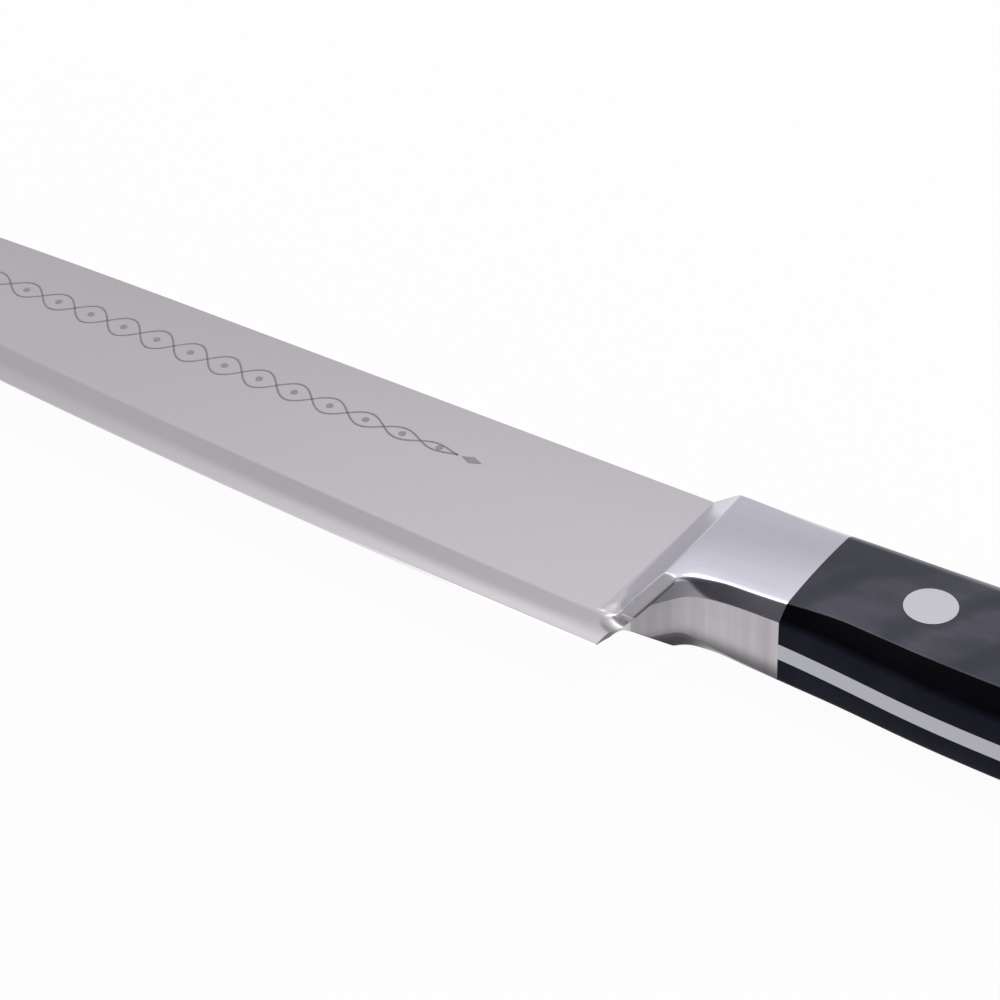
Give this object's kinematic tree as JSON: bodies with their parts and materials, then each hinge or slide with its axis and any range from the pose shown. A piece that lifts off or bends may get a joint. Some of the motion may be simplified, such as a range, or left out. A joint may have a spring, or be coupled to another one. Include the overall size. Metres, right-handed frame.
{
  "type": "carving knife",
  "caption": "Slender pointed kitchen knife with a full tang, a sloped welded bolster and a dark contoured handle held by flush rivets.",
  "frame": {"origin": "centre of the bounding box's bottom, with the knife level on its right flank", "axes": "+X from the point to the butt, +Y from the edge to the spine, +Z out of the left flank, square to the blade's middle plane"},
  "size_m": [0.3941, 0.0381, 0.0168],
  "materials": {
    "blade_steel": "fine satin grinding lines",
    "bolster_steel": "polished with faint grinding lines",
    "scale_wood": "black laminated hardwood, satin",
    "rivet_steel": "ground flush, satin"
  },
  "bodies": {
    "root": {"blade": "blade_steel", "bolster_cheek_left": "bolster_steel", "bolster_cheek_right": "bolster_steel", "scale_left": "scale_wood", "scale_right": "scale_wood", "rivet_front_male": "rivet_steel", "rivet_front_female": "rivet_steel", "rivet_middle_male": "rivet_steel", "rivet_middle_female": "rivet_steel", "rivet_rear_male": "rivet_steel", "rivet_rear_female": "rivet_steel"}
  },
  "joints": []
}
